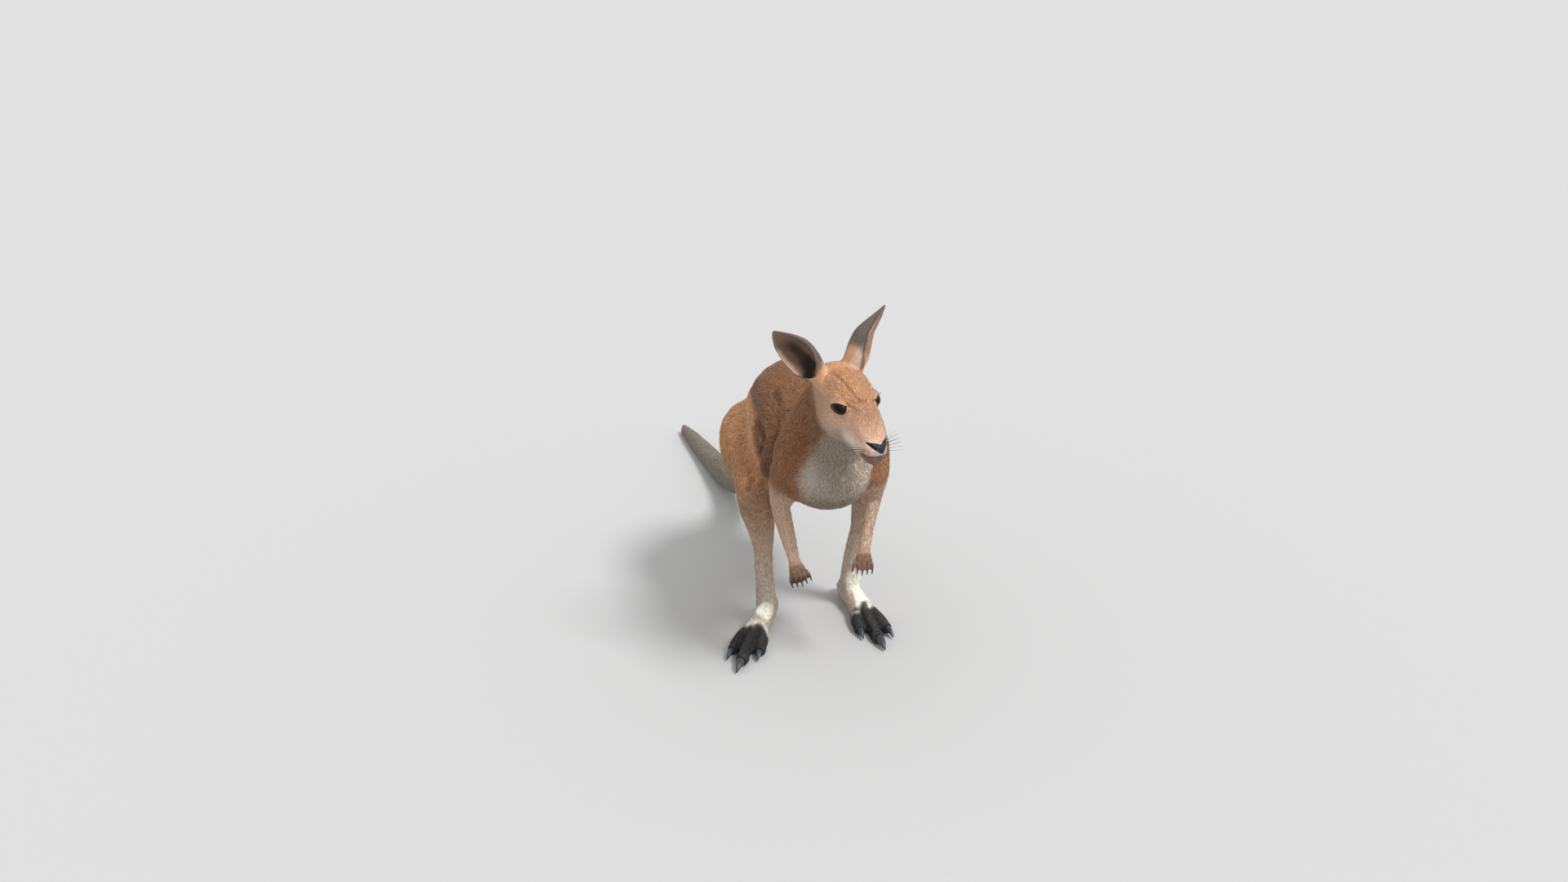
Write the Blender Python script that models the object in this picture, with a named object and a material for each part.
"""A kangaroo standing still on its hind feet and tail, life size, as solids.

The animal faces -Y with its left side at +X. It stands on z = 0, with the
origin at the middle of its bounding box on the floor. The fur is left to the
finish: each solid reaches out to the tips of the coat.

The flesh is modelled whole from lofts, joined, smoothed and simplified, and
is then parted by thin gaps into the lengths that a person would name.
"""

from math import cos, pi, radians, sin

import bmesh
import bpy
import numpy as np
from mathutils import Matrix, Vector

# Driving dimensions, in metres. The body is laid out from the floor point
# midway between the hocks, and is moved over the middle of its box at the end.
GAP = 0.0003
VOXEL = 0.003
SLIVER = 0.007
CUT = 1
SOCKET = 2
BROAD_SMOOTHING = 50
HEAD_SHARE = 0.2
FACE_TRIANGLES = 1200
PAW_TRIANGLES = 540
TOE_TRIANGLES = 520
BODY_TRIANGLES = 2150

SIDES = {"right": -1, "left": 1}

# Legs: hip, knee and hock of each side, and where the fourth claw points.
HIP = {"right": (-0.106, 0.085, 0.466), "left": (0.082, 0.120, 0.470)}
KNEE = {"right": (-0.160, -0.125, 0.418), "left": (0.125, -0.075, 0.425)}
HOCK = {"right": (-0.116, -0.026, 0.052), "left": (0.111, 0.026, 0.052)}
FOOT_TURN = {"right": 28.5, "left": 6.5}
FOOT_SHIFT = {"right": -0.001, "left": 0.001}
SHIN_BOW = {"right": (0.005, 0.004, 0.001), "left": (-0.008, -0.004, 0.003)}

# Arms: shoulder, elbow, wrist and paw tip.
SHOULDER = {"right": (-0.110, -0.258, 0.560), "left": (0.089, -0.258, 0.560)}
ELBOW = {"right": (-0.124, -0.225, 0.438), "left": (0.101, -0.225, 0.440)}
WRIST = {"right": (-0.1015, -0.282, 0.313), "left": (0.066, -0.280, 0.323)}
ARM_GIRTH = {"right": 1.08, "left": 0.86}
PAW_TIP = {"right": (-0.0885, -0.302, 0.269), "left": (0.057, -0.302, 0.286)}

# Head: the point midway between the eyes, and how the head is turned.
HEAD_AT = (-0.0085, -0.440, 0.766)
HEAD_YAW = 13.5
HEAD_PITCH = 6.0
HEAD_ROLL = -2.5
HEAD_SCALE = 1.145
EYE_RADII = (0.0175, 0.0210, 0.0155)
EYE_AT = (0.0350, -0.013, 0.0145)

# Ears: root in the head's frame, and the directions of the tip and the opening.
EAR_ROOT = {"right": (-0.030, 0.070, 0.030), "left": (0.019, 0.068, 0.030)}
EAR_LENGTH = {"right": 0.160, "left": 0.172}
EAR_BEND = {"right": 0.0, "left": 0.007}
EAR_WIDTH = 0.080
EAR_WALL = 0.0045
EAR_TOWARD = {"right": (-0.61, -0.02, 0.65), "left": (0.50, 0.00, 0.90)}
EAR_OPENS = {"right": (-0.50, -0.85, 0.0), "left": (0.90, -0.42, 0.0)}

# Cuts: the midplane of the hips, how far out the thighs part, the tail's cuts
# (a point and the way to the tip), and half width, half height and depth of the nose.
PELVIS_X = -0.022
THIGH_CUT = 0.062
TAIL_CUTS = [
    ((-0.118, 0.990, 0.024), (-0.14, 0.98, 0.0)),
    ((-0.080, 0.730, 0.046), (-0.14, 0.98, -0.14)),
    ((-0.046, 0.480, 0.150), (-0.15, 0.82, -0.60)),
    ((-0.016, 0.235, 0.382), (-0.10, 0.68, -0.70)),
]

FINISHES = (
    ("tail", "tail", 0.9),
    ("foot", "foot", 0.9),
    ("paw_claw", "claw", 0.4),
    ("claw", "claw", 0.35),
    ("ear", "ear", 0.9),
    ("eye", "eye", 0.05),
    ("nose", "nose", 0.5),
    ("", "coat", 0.9),
)
NOSE_BOX = (0.0235, 0.0145, 0.03)

COLOURS = {
    "coat": (0.42, 0.21, 0.11),
    "tail": (0.22, 0.19, 0.14),
    "foot": (0.30, 0.25, 0.20),
    "ear": (0.30, 0.20, 0.14),
    "eye": (0.01, 0.008, 0.006),
    "claw": (0.06, 0.07, 0.09),
    "nose": (0.02, 0.02, 0.025),
}


def material(name, roughness):
    """A plain finish of one colour."""
    made = bpy.data.materials.new(name)
    made.use_nodes = True
    shader = made.node_tree.nodes["Principled BSDF"]
    shader.inputs["Base Color"].default_value = (*COLOURS[name], 1.0)
    shader.inputs["Roughness"].default_value = roughness
    shader.inputs["Metallic"].default_value = 0.0
    return made


def new_object(name, vertices, faces):
    """A mesh object from lists of points and faces, its faces turned outwards."""
    mesh = bpy.data.meshes.new(name)
    mesh.from_pydata([tuple(v) for v in vertices], [], faces)
    shape = bmesh.new()
    shape.from_mesh(mesh)
    bmesh.ops.recalc_face_normals(shape, faces=shape.faces)
    shape.to_mesh(mesh)
    shape.free()
    made = bpy.data.objects.new(name, mesh)
    bpy.context.scene.collection.objects.link(made)
    return made


def through(stations, steps):
    """Rows of numbers on a smooth curve through the given stations."""
    rows = np.array(stations, dtype=float)
    before = 2 * rows[0] - rows[1]
    after = 2 * rows[-1] - rows[-2]
    rows = np.vstack([before, rows, after])
    smooth = []
    for i in range(1, len(rows) - 2):
        a, b, c, d = rows[i - 1 : i + 3]
        for k in range(steps):
            t = k / steps
            smooth.append(
                0.5
                * (
                    2 * b
                    + (c - a) * t
                    + (2 * a - 5 * b + 4 * c - d) * t**2
                    + (3 * b - 3 * c + d - a) * t**3
                )
            )
    smooth.append(rows[-2])
    return np.array(smooth)


def loft(name, stations, across=(1, 0, 0), sides=24, steps=5, square=2.0, cap_rings=3):
    """A closed, round-ended limb through stations.

    Each station is x, y, z, half width along `across`, half height above the
    middle line and half height below it.
    """
    rows = through(stations, steps)
    middle = rows[:, :3]
    run = np.gradient(middle, axis=0)
    run /= np.linalg.norm(run, axis=1)[:, None]

    rings = []
    for i, (point, along) in enumerate(zip(middle, run)):
        width, above, below = np.maximum(rows[i, 3:6], 0.0005)
        side = np.array(across, dtype=float)
        side -= along * side.dot(along)
        side /= np.linalg.norm(side)
        rings.append((point, along, side, np.cross(along, side), width, above, below))

    def cap(ring, direction):
        point, along, side, up, width, above, below = ring
        reach = min(width, 0.5 * (above + below))
        made = []
        for ring_number in range(1, cap_rings + 1):
            angle = ring_number * pi / (2 * cap_rings + 2)
            shrink = cos(angle)
            at = point + direction * along * reach * sin(angle)
            made.append((at, along, side, up, width * shrink, above * shrink, below * shrink))
        return made, point + direction * along * reach

    first, start_pole = cap(rings[0], -1)
    last, end_pole = cap(rings[-1], 1)
    rings = first[::-1] + rings + last

    vertices = []
    for point, along, side, up, width, above, below in rings:
        for k in range(sides):
            angle = 2 * pi * k / sides
            c, s = cos(angle), sin(angle)
            x = abs(c) ** (2 / square) * (1 if c > 0 else -1)
            y = abs(s) ** (2 / square) * (1 if s > 0 else -1)
            vertices.append(point + side * width * x + up * (above if s > 0 else below) * y)
    faces = []
    for i in range(len(rings) - 1):
        for k in range(sides):
            n = (k + 1) % sides
            faces.append((i * sides + k, i * sides + n, (i + 1) * sides + n, (i + 1) * sides + k))
    vertices += [start_pole, end_pole]
    start, end = len(vertices) - 2, len(vertices) - 1
    base = (len(rings) - 1) * sides
    for k in range(sides):
        n = (k + 1) % sides
        faces.append((start, n, k))
        faces.append((end, base + k, base + n))
    return new_object(name, vertices, faces)


def ball(name, at, radii, divisions=3):
    """An ellipsoid."""
    shape = bmesh.new()
    bmesh.ops.create_icosphere(shape, subdivisions=divisions, radius=1.0)
    for v in shape.verts:
        v.co = Vector(at) + Vector(v.co[i] * radii[i] for i in range(3))
    mesh = bpy.data.meshes.new(name)
    shape.to_mesh(mesh)
    shape.free()
    made = bpy.data.objects.new(name, mesh)
    bpy.context.scene.collection.objects.link(made)
    return made


def baked(source, name):
    """The evaluated mesh of an object, as a new object; the source is dropped."""
    graph = bpy.context.evaluated_depsgraph_get()
    mesh = bpy.data.meshes.new_from_object(source.evaluated_get(graph))
    bpy.data.objects.remove(source)
    made = bpy.data.objects.new(name, mesh)
    bpy.context.scene.collection.objects.link(made)
    return made


def joined(parts, name):
    """One object that holds the meshes of several."""
    shape = bmesh.new()
    for part in parts:
        part.data.transform(part.matrix_world)
        shape.from_mesh(part.data)
        bpy.data.objects.remove(part)
    mesh = bpy.data.meshes.new(name)
    shape.to_mesh(mesh)
    shape.free()
    made = bpy.data.objects.new(name, mesh)
    bpy.context.scene.collection.objects.link(made)
    return made


def between(a, b, t):
    """The point a fraction t of the way from a to b."""
    return tuple((1 - t) * np.array(a) + t * np.array(b))


# ---------------------------------------------------------------- trunk, neck
def trunk():
    """Rump, loin and chest in one loft, and the neck that rises from them."""
    body = [
        (-0.004, 0.205, 0.455, 0.078, 0.085, 0.085),
        (-0.014, 0.160, 0.485, 0.102, 0.116, 0.118),
        (-0.024, 0.095, 0.510, 0.120, 0.142, 0.140),
        (-0.028, 0.005, 0.530, 0.133, 0.159, 0.148),
        (-0.026, -0.090, 0.530, 0.144, 0.157, 0.140),
        (-0.023, -0.180, 0.530, 0.137, 0.141, 0.116),
        (-0.025, -0.255, 0.540, 0.116, 0.117, 0.101),
        (-0.025, -0.310, 0.555, 0.099, 0.106, 0.093),
        (-0.023, -0.345, 0.578, 0.082, 0.090, 0.083),
    ]
    neck = [
        (-0.006, -0.215, 0.585, 0.110, 0.096, 0.090),
        (-0.010, -0.268, 0.640, 0.106, 0.104, 0.094),
        (-0.012, -0.315, 0.700, 0.090, 0.094, 0.084),
        (-0.015, -0.352, 0.752, 0.071, 0.076, 0.068),
    ]
    throat = [
        (-0.008, -0.340, 0.590, 0.076, 0.070, 0.070),
        (-0.008, -0.372, 0.645, 0.062, 0.056, 0.052),
        (-0.010, -0.395, 0.700, 0.044, 0.042, 0.040),
    ]
    return [loft("trunk", body), loft("neck", neck), loft("throat", throat)]


def tail():
    """The tail drops from the rump and lies along the floor."""
    stations = [
        (-0.010, 0.150, 0.470, 0.076, 0.088, 0.088),
        (-0.019, 0.255, 0.362, 0.065, 0.069, 0.070),
        (-0.031, 0.362, 0.250, 0.053, 0.054, 0.055),
        (-0.047, 0.480, 0.150, 0.043, 0.043, 0.044),
        (-0.065, 0.610, 0.080, 0.0365, 0.037, 0.038),
        (-0.085, 0.755, 0.042, 0.0320, 0.0380, 0.0445),
        (-0.104, 0.905, 0.028, 0.0280, 0.0335, 0.0330),
        (-0.126, 1.035, 0.022, 0.0210, 0.0270, 0.0275),
        (-0.144, 1.140, 0.015, 0.0120, 0.0180, 0.0195),
    ]
    return [loft("tail", stations)]


# ------------------------------------------------------------------ hind legs
def foot_axes(side):
    """Heel-to-toe direction and outward direction of a foot."""
    turn = radians(FOOT_TURN[side])
    sign = SIDES[side]
    along = np.array((sign * sin(turn), -cos(turn), 0.0))
    out = np.array((sign * cos(turn), sin(turn), 0.0))
    return along, out


def foot_point(side, forward, outward, height):
    """A point of the foot, measured from below the hock."""
    along, out = foot_axes(side)
    outward += FOOT_SHIFT[side] * min(max(forward / 0.05 + 0.5, 0.0), 1.0)
    at = np.array(HOCK[side]) * (1, 1, 0) + along * forward + out * outward
    return (at[0], at[1], height)


# Toes: where each starts and ends along the foot, its offset outward at both,
# and its half thickness; then the same for the claw that grows from it.
TOES = {
    "fourth": (0.130, 0.214, 0.002, 0.000, 0.0165),
    "fifth": (0.118, 0.174, 0.030, 0.036, 0.0140),
    "inner": (0.112, 0.160, -0.024, -0.030, 0.0140),
}
CLAW_TIP = {"fourth": 0.253, "fifth": 0.206, "inner": 0.189}
CLAW_HALF = {"fourth": 0.0115, "fifth": 0.0085, "inner": 0.0085}


def bowed(side, number):
    """One of three points down the shin, set inward by the bow of that shin."""
    at = between(KNEE[side], HOCK[side], (0.32, 0.52, 0.75)[number])
    return (at[0] - SIDES[side] * SHIN_BOW[side][number], at[1], at[2])


def leg(side):
    """Thigh, flank fold, shin and flat foot of one side."""
    hip, knee, hock = HIP[side], KNEE[side], HOCK[side]
    sign = SIDES[side]
    thigh = [
        (hip[0] + sign * 0.002, hip[1] + 0.070, hip[2] + 0.005, 0.056, 0.070, 0.104),
        (hip[0] + sign * 0.026, hip[1] + 0.000, hip[2] + 0.005, 0.080, 0.087, 0.120),
        (*between(hip, knee, 0.45), 0.076, 0.084, 0.096),
        (*between(hip, knee, 0.80), 0.058, 0.062, 0.066),
        (*between(hip, knee, 1.02), 0.048, 0.048, 0.052),
    ]
    shin = [
        (*between(knee, hock, -0.04), 0.046, 0.042, 0.050),
        (*between(knee, hock, 0.12), 0.045, 0.046, 0.058),
        (*bowed(side, 0), 0.0325, 0.036, 0.048),
        (*bowed(side, 1), 0.0240, 0.026, 0.033),
        (*bowed(side, 2), 0.0238, 0.024, 0.026),
        (*between(knee, hock, 0.93), 0.0272, 0.028, 0.028),
        (*between(knee, hock, 1.02), 0.0255, 0.030, 0.030),
    ]
    foot = [
        (*foot_point(side, -0.040, 0.0, 0.028), 0.020, 0.022, 0.033),
        (*foot_point(side, -0.010, 0.0, 0.036), 0.025, 0.040, 0.042),
        (*foot_point(side, 0.030, 0.0, 0.032), 0.025, 0.036, 0.038),
        (*foot_point(side, 0.080, 0.003, 0.025), 0.029, 0.031, 0.031),
        (*foot_point(side, 0.118, 0.005, 0.020), 0.037, 0.025, 0.025),
        (*foot_point(side, 0.145, 0.004, 0.017), 0.038, 0.019, 0.022),
    ]
    out = tuple(foot_axes(side)[1])
    fold = [
        (hip[0] - sign * 0.010, hip[1] - 0.115, 0.585, 0.030, 0.040, 0.040),
        (*between((hip[0], hip[1] - 0.130, 0.560), knee, 0.50), 0.034, 0.042, 0.040),
        (*between(hip, knee, 0.96), 0.036, 0.042, 0.040),
    ]
    parts = [
        loft("fold", fold),
        loft("thigh", thigh, across=(1, 0, 0)),
        loft("shin", shin, across=(1, 0, 0)),
        loft("foot", foot, across=out),
    ]
    for root, tip, root_out, tip_out, thick in TOES.values():
        middle, offset = 0.5 * (root + tip), 0.5 * (root_out + tip_out)
        toe = [
            (*foot_point(side, root - 0.030, root_out * 0.7, 0.020), thick, 0.017, 0.024),
            (*foot_point(side, root, root_out, 0.019), thick, 0.017, 0.023),
            (*foot_point(side, middle, offset, 0.018), thick, 0.016, 0.022),
            (*foot_point(side, tip - 0.008, tip_out, 0.014), thick, 0.014, 0.018),
        ]
        parts.append(loft("toe", toe, across=out))
    return parts


# ----------------------------------------------------------------------- arms
FINGERS = 5


def finger_spread(number):
    """From -1 for the first finger to 1 for the last."""
    return 2 * number / (FINGERS - 1) - 1


def finger_reach(number):
    """Length of a finger past the palm: the middle one is the longest."""
    return 0.026 - 0.006 * abs(finger_spread(number))


def finger_frame(side, number):
    """Root of a finger, and the directions down, across and to the back of the paw."""
    wrist, tip = np.array(WRIST[side]), np.array(PAW_TIP[side])
    down = (tip - wrist) / np.linalg.norm(tip - wrist)
    across = np.array((1.0, 0.0, 0.0))
    across -= down * across.dot(down)
    across /= np.linalg.norm(across)
    back = np.cross(down, across)
    root = wrist + (tip - wrist) * 0.52 + across * 0.0175 * finger_spread(number)
    return root, down, across, back


def arm(side):
    """Upper arm, forearm and the palm with its five fingers."""
    sign = SIDES[side]
    girth = ARM_GIRTH[side]
    shoulder, elbow, wrist, tip = (np.array(p[side]) for p in (SHOULDER, ELBOW, WRIST, PAW_TIP))
    upper = [
        (*(shoulder + (0, 0.004, 0.030)), 0.034, 0.060, 0.056),
        (*(shoulder + (0, 0.0, -0.010)), 0.037, 0.056, 0.054),
        (*between(shoulder, elbow, 0.50), 0.036, 0.042, 0.044),
        (*between(shoulder, elbow, 0.95), 0.0255, 0.026, 0.028),
    ]
    fore = [
        (*between(elbow, wrist, -0.06), 0.0235, 0.023, 0.026),
        (*between(elbow, wrist, 0.20), 0.0225 * girth, 0.023, 0.024),
        (*between(elbow, wrist, 0.60), 0.0180 * girth, 0.018, 0.018),
        (*between(elbow, wrist, 1.00), 0.0150, 0.0135, 0.0135),
    ]
    palm = [
        (*between(wrist, tip, -0.10), 0.0130, 0.0115, 0.0115),
        (*between(wrist, tip, 0.30), 0.0200, 0.0130, 0.0130),
        (*between(wrist, tip, 0.60), 0.0215, 0.0120, 0.0120),
    ]
    blade = [
        (sign * 0.060 - 0.008, -0.285, 0.675, 0.040, 0.050, 0.050),
        (sign * 0.082 - 0.009, -0.272, 0.625, 0.038, 0.058, 0.058),
        (*(shoulder + (-sign * 0.010, 0.0, 0.010)), 0.040, 0.060, 0.060),
    ]
    limb = [loft("blade", blade), loft("upper", upper), loft("fore", fore)]
    parts = [*limb, loft("palm", palm)]
    for number in range(FINGERS):
        root, down, across, back = finger_frame(side, number)
        reach = finger_reach(number)
        spread = finger_spread(number)
        bend = root + down * reach * 0.5 + across * 0.004 * spread + back * 0.003
        end = root + down * reach + across * 0.006 * spread
        finger = [
            (*root, 0.0060, 0.0066, 0.0066),
            (*bend, 0.0059, 0.0063, 0.0063),
            (*end, 0.0054, 0.0056, 0.0056),
        ]
        parts.append(loft("finger", finger, sides=12))
    return parts


# ----------------------------------------------------------------------- head
def head_frame():
    """Places the head's own frame: its nose points along -Y, its left is +X."""
    turn = Matrix.Rotation(radians(HEAD_YAW), 4, "Z")
    nod = Matrix.Rotation(radians(HEAD_PITCH), 4, "X")
    tilt = Matrix.Rotation(radians(HEAD_ROLL), 4, "Y")
    return Matrix.Translation(HEAD_AT) @ turn @ nod @ tilt @ Matrix.Scale(HEAD_SCALE, 4)


def head():
    """Skull, tapering muzzle, cheeks, brows, lips and chin."""
    skull = [
        (0, 0.105, -0.010, 0.036, 0.040, 0.048),
        (0, 0.080, -0.002, 0.045, 0.053, 0.064),
        (0, 0.050, 0.000, 0.0485, 0.059, 0.072),
        (0, 0.015, 0.000, 0.0475, 0.053, 0.072),
        (0, -0.015, -0.003, 0.0420, 0.042, 0.068),
        (-0.002, -0.040, -0.011, 0.0360, 0.036, 0.054),
        (-0.003, -0.065, -0.021, 0.0310, 0.030, 0.042),
        (-0.004, -0.083, -0.030, 0.0275, 0.0255, 0.034),
        (-0.005, -0.095, -0.037, 0.0240, 0.0210, 0.027),
    ]
    jaw = [
        (0, 0.055, -0.050, 0.040, 0.030, 0.028),
        (0, 0.010, -0.052, 0.040, 0.028, 0.023),
        (-0.001, -0.035, -0.055, 0.031, 0.020, 0.017),
        (-0.002, -0.065, -0.059, 0.0240, 0.015, 0.013),
        (-0.004, -0.096, -0.0605, 0.0175, 0.012, 0.0115),
    ]
    parts = [loft("skull", skull, square=2.2), loft("jaw", jaw, square=2.2)]
    for sign in SIDES.values():
        parts.append(ball("cheek", (sign * 0.034, 0.026, -0.036), (0.022, 0.048, 0.038)))
        parts.append(ball("brow", (sign * 0.031, 0.000, 0.023), (0.018, 0.028, 0.0115)))
        lip = [
            (sign * 0.026, 0.010, -0.036, 0.016, 0.020, 0.020),
            (sign * 0.019 - 0.001, -0.040, -0.040, 0.016, 0.018, 0.020),
            (sign * 0.013 - 0.003, -0.082, -0.046, 0.015, 0.015, 0.015),
            (sign * 0.011 - 0.005, -0.099, -0.049, 0.012, 0.011, 0.012),
        ]
        parts.append(loft("lip", lip))
        parts.append(ball("ear_root", (sign * 0.034, 0.074, 0.024), (0.017, 0.021, 0.017)))
    for part in parts:
        part.data.transform(head_frame())
    return parts


def eye(side, grow=0.0):
    """An eyeball as wide as the lids show it; `grow` enlarges it, to cut its socket."""
    x, y, z = EYE_AT
    centre = head_frame() @ Vector((SIDES[side] * x, y, z))
    made = ball(f"eye_{side}", (0, 0, 0), [radius + grow for radius in EYE_RADII], divisions=2)
    turn = head_frame().to_3x3().normalized().to_4x4()
    made.data.transform(Matrix.Translation(centre) @ turn)
    return made


def swell(solid, distance):
    """Moves every face of a solid outwards by about the given distance."""
    shape = bmesh.new()
    shape.from_mesh(solid.data)
    shape.normal_update()
    for vertex in shape.verts:
        vertex.co += vertex.normal * distance * min(vertex.calc_shell_factor(), 3.0)
    shape.to_mesh(solid.data)
    shape.free()


def ear(side):
    """A leaf-shaped cup: a short closed root that opens into a curled wall."""
    root = np.array(from_head(EAR_ROOT[side]))
    axis = np.array(EAR_TOWARD[side])
    axis /= np.linalg.norm(axis)
    opens = np.array(EAR_OPENS[side])
    opens -= axis * opens.dot(axis)
    opens /= np.linalg.norm(opens)
    across = np.cross(axis, opens)

    # Along the ear: how far up, half the width, and how far the wall wraps round.
    rows = through(
        [
            (0.00, 0.56, 180),
            (0.15, 0.70, 172),
            (0.33, 0.92, 122),
            (0.56, 0.97, 92),
            (0.80, 0.68, 70),
            (1.00, 0.10, 55),
        ],
        2,
    )
    closed_rows = 2
    arc = 8
    vertices, faces = [], []

    def wall(row, offset):
        up, wide, wrap = row
        wrap = radians(min(wrap, 178.0))
        half = 0.5 * EAR_WIDTH * wide
        radius = half / sin(min(wrap, 0.5 * pi))
        middle = root + axis * EAR_LENGTH[side] * up
        middle += opens * (radius * cos(min(wrap, 0.5 * pi)) + EAR_BEND[side] * 4 * up * (1 - up))
        points = []
        for k in range(arc + 1):
            angle = wrap * (2 * k / arc - 1)
            outward = across * sin(angle) - opens * cos(angle)
            points.append(middle + outward * (radius + offset))
        return points

    outer_start, inner_start = [], []
    for i, row in enumerate(rows):
        outer_start.append(len(vertices))
        vertices += wall(row, 0.0)
        if i >= closed_rows:
            inner_start.append(len(vertices))
            thick = min(EAR_WALL, 0.6 * 0.5 * EAR_WIDTH * row[1])
            vertices += wall(row, -thick)
    for i in range(len(rows) - 1):
        a, b = outer_start[i], outer_start[i + 1]
        for k in range(arc):
            faces.append((a + k, a + k + 1, b + k + 1, b + k))
        if i < closed_rows:
            faces.append((a + arc, a, b, b + arc))
        else:
            c, d = inner_start[i - closed_rows], inner_start[i - closed_rows + 1]
            for k in range(arc):
                faces.append((c + k, d + k, d + k + 1, c + k + 1))
            faces.append((a, b, d, c))
            faces.append((a + arc, c + arc, d + arc, b + arc))
    faces.append(tuple(outer_start[0] + k for k in range(arc + 1)))
    last_outer, last_inner = outer_start[-1], inner_start[-1]
    faces.append(
        tuple(last_outer + k for k in range(arc + 1))
        + tuple(last_inner + k for k in range(arc, -1, -1))
    )
    floor_outer, floor_inner = outer_start[closed_rows], inner_start[0]
    faces.append((floor_outer + arc, floor_outer, floor_inner, floor_inner + arc))
    faces.append(tuple(floor_inner + k for k in range(arc + 1)))
    return new_object(f"ear_{side}", vertices, faces)


def claw(side, toe, grow=0.0):
    """A curved blunt-rooted claw; `grow` thickens it, to cut its socket."""
    root, tip, root_out, tip_out, thick = TOES[toe]
    end, half = CLAW_TIP[toe], CLAW_HALF[toe]
    out = tuple(foot_axes(side)[1])
    reach = end - tip
    drift = (tip_out - root_out) / (tip - root)
    stations = []
    profile = (
        (-0.12, 0.80, 0.0160),
        (0.18, 1.00, 0.0175),
        (0.55, 0.72, 0.0150),
        (0.85, 0.36, 0.0095),
        (0.96, 0.14, 0.0065),
    )
    for t, wide, rise in profile:
        at = foot_point(side, tip + reach * t, tip_out + drift * reach * t, rise)
        size = half * wide + grow
        stations.append((*at, size, size * 1.05, size * 0.95))
    return loft(f"claw_{side}_{toe}", stations, across=out, sides=8, steps=1, cap_rings=1)


def paw_claw(side, number, grow=0.0):
    """A small hooked claw at the end of a finger."""
    root, down, across, back = finger_frame(side, number)
    reach = finger_reach(number)
    end = root + down * reach + across * finger_spread(number) * 0.006
    stations = []
    for t, wide, hook in ((-0.15, 0.0024, 0.0), (0.35, 0.0024, 0.0004), (0.85, 0.0012, 0.0022)):
        at = end + down * 0.0125 * t - back * hook
        stations.append((*at, wide + grow, wide * 1.1 + grow, wide * 1.1 + grow))
    name = f"paw_claw_{side}_{number + 1}"
    return loft(name, stations, sides=5, steps=1, cap_rings=0)


def thinned(whole):
    """Simplifies the skin, with a share of the triangles for each region."""
    toes = [foot_point(side, 0.165, 0, 0.02) for side in SIDES]
    regions = (
        ([tuple(from_head((0, 0.005, 0)))], 0.125, FACE_TRIANGLES),
        ([PAW_TIP[side] for side in SIDES], 0.055, PAW_TRIANGLES),
        (toes, 0.080, TOE_TRIANGLES),
    )
    for centres, reach, budget in (*regions, ([], 0.0, BODY_TRIANGLES)):
        points = np.array([vertex.co for vertex in whole.data.vertices])
        special = np.zeros(len(points), dtype=bool)
        for others, distance, _ in regions:
            for centre in others:
                special |= np.linalg.norm(points - centre, axis=1) < distance
        chosen = ~special
        if centres:
            away = [np.linalg.norm(points - centre, axis=1) for centre in centres]
            chosen = np.min(away, axis=0) < reach
        group = whole.vertex_groups.new(name="chosen")
        group.add([int(i) for i in np.flatnonzero(chosen)], 1.0, "REPLACE")
        sizes = [len(face.vertices) - 2 for face in whole.data.polygons]
        inside = sum(
            size for size, face in zip(sizes, whole.data.polygons) if chosen[face.vertices[0]]
        )
        few = whole.modifiers.new("few", "DECIMATE")
        few.vertex_group = group.name
        few.ratio = 1 - (inside - budget) / sum(sizes)
        whole = baked(whole, "flesh")
    return whole


def flesh():
    """The whole body as one smooth closed skin of few triangles."""
    parts = trunk() + tail() + head()
    for side in SIDES:
        parts += leg(side) + arm(side)
    whole = joined(parts, "flesh")
    remesh = whole.modifiers.new("union", "REMESH")
    remesh.mode = "VOXEL"
    remesh.voxel_size = VOXEL
    soften = whole.modifiers.new("soften", "SMOOTH")
    soften.factor = 0.5
    soften.iterations = 8
    whole = baked(whole, "flesh")
    broad = whole.vertex_groups.new(name="broad")
    apart = head_frame().translation
    for vertex in whole.data.vertices:
        above = min(max((vertex.co.z - 0.30) / 0.08, 0.0), 1.0)
        away = min(max(((vertex.co - apart).length - 0.13) / 0.06, 0.0), 1.0)
        paw = min((vertex.co - Vector(PAW_TIP[side])).length for side in SIDES)
        if above > 0 and paw > 0.10:
            broad.add([vertex.index], above * max(away, HEAD_SHARE), "REPLACE")
    blend = whole.modifiers.new("blend", "SMOOTH")
    blend.factor = 0.5
    blend.iterations = BROAD_SMOOTHING
    blend.vertex_group = broad.name
    return thinned(baked(whole, "flesh"))


def boolean(body, other, operation, name):
    """The body cut or kept by another solid, as a new object."""
    change = body.modifiers.new(operation, "BOOLEAN")
    change.operation = operation
    change.solver = "EXACT"
    change.object = other
    return baked(body, name)


def block(at, toward, across, half_wide, half_deep, reach, grow=0.0):
    """A box that starts at the plane through `at` and runs `reach` along `toward`."""
    toward = Vector(toward).normalized()
    across = Vector(across)
    across = (across - toward * across.dot(toward)).normalized()
    deep = toward.cross(across)
    corners = []
    for t in (-grow, reach + grow):
        for u in (-1, 1):
            for v in (-1, 1):
                offset = across * u * (half_wide + grow) + deep * v * (half_deep + grow)
                corners.append(Vector(at) + toward * t + offset)
    faces = [(0, 1, 3, 2), (4, 6, 7, 5), (0, 4, 5, 1), (2, 3, 7, 6), (0, 2, 6, 4), (1, 5, 7, 3)]
    return marked(new_object("block", corners, faces), CUT)


def marked(tool, kind):
    """The tool with a mark on its faces, which the faces that it cuts take over."""
    for _ in range(CUT + SOCKET):
        tool.data.materials.append(None)
    for face in tool.data.polygons:
        face.material_index = kind
    return tool


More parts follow.
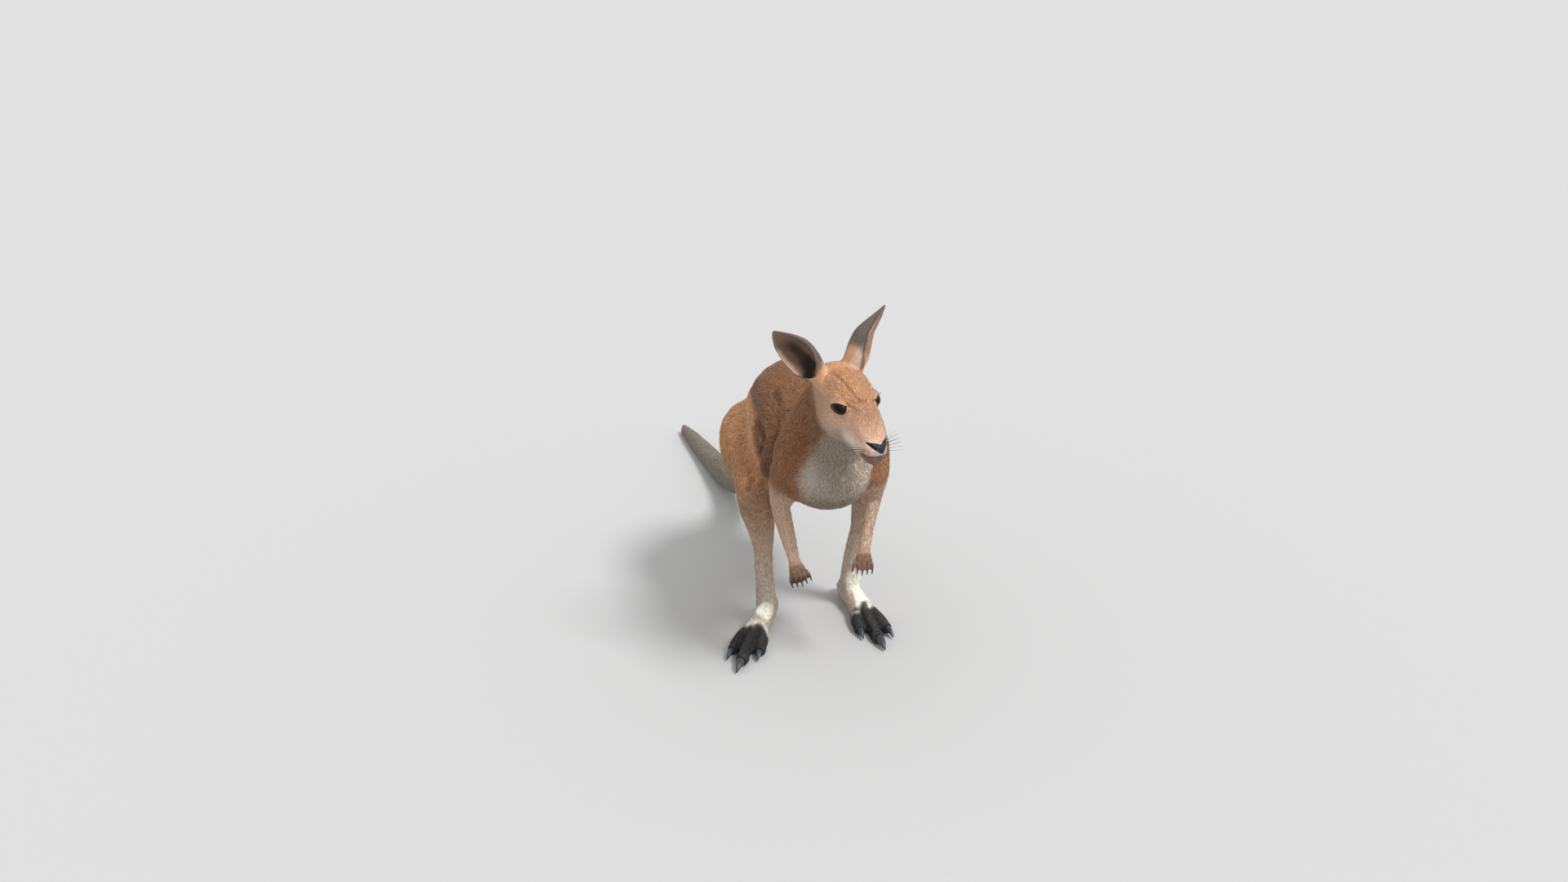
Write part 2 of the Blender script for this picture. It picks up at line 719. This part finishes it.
def trimmed(mesh, reach):
    """The mesh without the slivers that the cuts leave beside their flat faces."""
    shape = bmesh.new()
    shape.from_mesh(mesh)
    bmesh.ops.remove_doubles(shape, verts=shape.verts, dist=2e-6)
    bmesh.ops.dissolve_degenerate(shape, edges=shape.edges, dist=2e-6)
    planes = {}
    for vertex in shape.verts:
        cuts = [face for face in vertex.link_faces if face.material_index]
        normals = [face.normal for face in cuts]
        if cuts and all(face.material_index == CUT for face in cuts):
            if all(normal.dot(normals[0]) > 0.9999 for normal in normals):
                key = tuple(round(c, 2) for c in (*normals[0], normals[0].dot(vertex.co)))
                planes.setdefault(key, []).append(vertex)
    for rim in planes.values():
        bmesh.ops.remove_doubles(shape, verts=rim, dist=reach)
    moves = {}
    for vertex in (v for rim in planes.values() for v in rim if v.is_valid):
        for edge in vertex.link_edges:
            other = edge.other_vert(vertex)
            plain = not any(face.material_index for face in other.link_faces)
            if plain and edge.calc_length() < reach:
                moves[other] = vertex
    bmesh.ops.weld_verts(shape, targetmap=moves)
    bmesh.ops.triangulate(shape, faces=shape.faces)
    return shape


def tidy(solid):
    """Trims a cut solid, less boldly where the bold way would open its shell."""
    for reach in (SLIVER, 0.4 * SLIVER, 2e-6):
        shape = trimmed(solid.data, reach)
        whole = all(len(edge.link_faces) == 2 for edge in shape.edges)
        whole = whole and all(vertex.link_faces for vertex in shape.verts)
        if whole:
            shape.to_mesh(solid.data)
        shape.free()
        if whole:
            return


def part_off(body, name, *box):
    """Splits the body at a box: the piece inside gets the name, with a thin gap."""
    piece = body.copy()
    piece.data = body.data.copy()
    bpy.context.scene.collection.objects.link(piece)
    keeper = block(*box)
    piece = boolean(piece, keeper, "INTERSECT", name)
    bpy.data.objects.remove(keeper)
    cutter = block(*box, grow=GAP)
    body = boolean(body, cutter, "DIFFERENCE", body.name)
    bpy.data.objects.remove(cutter)
    return body


def carve(body, tool, kind=SOCKET):
    """Cuts the shape of a tool out of the body and drops the tool."""
    body = boolean(body, marked(tool, kind), "DIFFERENCE", body.name)
    bpy.data.objects.remove(tool)
    return body


def from_head(point, direction=False):
    """A point or a direction of the head's frame, in the body's."""
    place = head_frame()
    if direction:
        return (place.to_3x3() @ Vector(point)).normalized()
    return place @ Vector(point)


def divide(body):
    """Parts the flesh into the lengths that a person would name."""
    side_on = (1, 0, 0)
    cross = from_head((1, 0, 0), True)
    nose_way = from_head((0, -0.96, 0.28), True)
    body = part_off(body, "nose", from_head((-0.005, -0.104, -0.032)), nose_way, cross, *NOSE_BOX)
    face_way = from_head((0, -0.80, 0.60), True)
    body = part_off(body, "head", from_head((0, 0.072, -0.040)), face_way, cross, 0.090, 0.160, 0.30)
    for side, sign in SIDES.items():
        hip, knee, hock = (np.array(place[side]) for place in (HIP, KNEE, HOCK))
        out = tuple(foot_axes(side)[1])
        start = foot_point(side, 0.090, 0.0, 0.088)
        body = part_off(body, f"foot_{side}", start, (0, 0, -1), out, 0.075, 0.190, 0.10)
        start = between(knee, hock, 0.12)
        body = part_off(body, f"shin_{side}", start, hock - knee, side_on, 0.070, 0.080, 0.42)
        middle = between(hip, knee, 0.33)
        start = (PELVIS_X + sign * THIGH_CUT, middle[1], middle[2])
        run = (0.0, *(knee - hip)[1:])
        body = part_off(body, f"thigh_{side}", start, (sign, 0, 0), run, 0.200, 0.130, 0.25)
    for side, sign in SIDES.items():
        shoulder, elbow, wrist, tip = (
            np.array(place[side]) for place in (SHOULDER, ELBOW, WRIST, PAW_TIP)
        )
        body = part_off(body, f"paw_{side}", wrist, tip - wrist, side_on, 0.05, 0.05, 0.12)
        start = between(elbow, wrist, 0.12)
        body = part_off(body, f"forearm_{side}", start, wrist - elbow, side_on, 0.033, 0.040, 0.18)
        start = np.array(between(shoulder, elbow, 0.42)) + (sign * 0.012, 0, 0)
        run = elbow - shoulder
        body = part_off(body, f"upper_arm_{side}", start, run, side_on, 0.042, 0.056, 0.14)
    for number, (at, toward) in enumerate(TAIL_CUTS):
        name = f"tail_{len(TAIL_CUTS) - number}"
        body = part_off(body, name, at, toward, side_on, 0.12, 0.12, 0.60)
    body = part_off(body, "neck", (0, -0.285, 0.648), (0, -0.45, 0.85), side_on, 0.16, 0.16, 0.30)
    body = part_off(body, "chest", (0, -0.130, 0.5), (0, -1, 0), side_on, 0.30, 0.40, 0.50)
    body = part_off(body, "rump", (0, 0.055, 0.5), (0, 1, 0), side_on, 0.30, 0.40, 0.50)
    body.name = "loin"


def finish(solids):
    """Gives each solid its material, and stands the whole over the origin."""
    made = {}
    for solid in solids:
        colour, roughness = next(f[1:] for f in FINISHES if solid.name.startswith(f[0]))
        if colour not in made:
            made[colour] = material(colour, roughness)
        solid.data.materials.clear()
        solid.data.materials.append(made[colour])
        for face in solid.data.polygons:
            face.material_index = 0
    points = np.array([v.co for solid in solids for v in solid.data.vertices])
    middle = 0.5 * (points.min(axis=0) + points.max(axis=0))
    stand = bpy.data.objects.new("kangaroo", None)
    stand.location = (-middle[0], -middle[1], 0.0)
    bpy.context.scene.collection.objects.link(stand)
    for solid in solids:
        solid.parent = stand


def main():
    for old in list(bpy.data.objects):
        bpy.data.objects.remove(old)
    body = flesh()
    floor = block((0, 0.3, 0), (0, 0, -1), (1, 0, 0), 1.0, 1.5, 0.2)
    body = carve(marked(body, 0), floor, CUT)
    for side in SIDES:
        eye(side)
        ear(side)
        body = carve(body, eye(side, GAP))
        for toe in TOES:
            claw(side, toe)
            body = carve(body, claw(side, toe, GAP))
        for number in range(FINGERS):
            paw_claw(side, number)
            body = carve(body, paw_claw(side, number, GAP))
    divide(body)
    head_solid = bpy.data.objects["head"]
    for side in SIDES:
        keeper = head_solid.copy()
        keeper.data = head_solid.data.copy()
        bpy.context.scene.collection.objects.link(keeper)
        swell(keeper, GAP)
        ear_solid = bpy.data.objects[f"ear_{side}"]
        boolean(ear_solid, keeper, "DIFFERENCE", f"ear_{side}")
        bpy.data.objects.remove(keeper)
    solids = [o for o in bpy.context.scene.objects if o.type == "MESH"]
    for solid in solids:
        tidy(solid)
    finish(solids)


main()
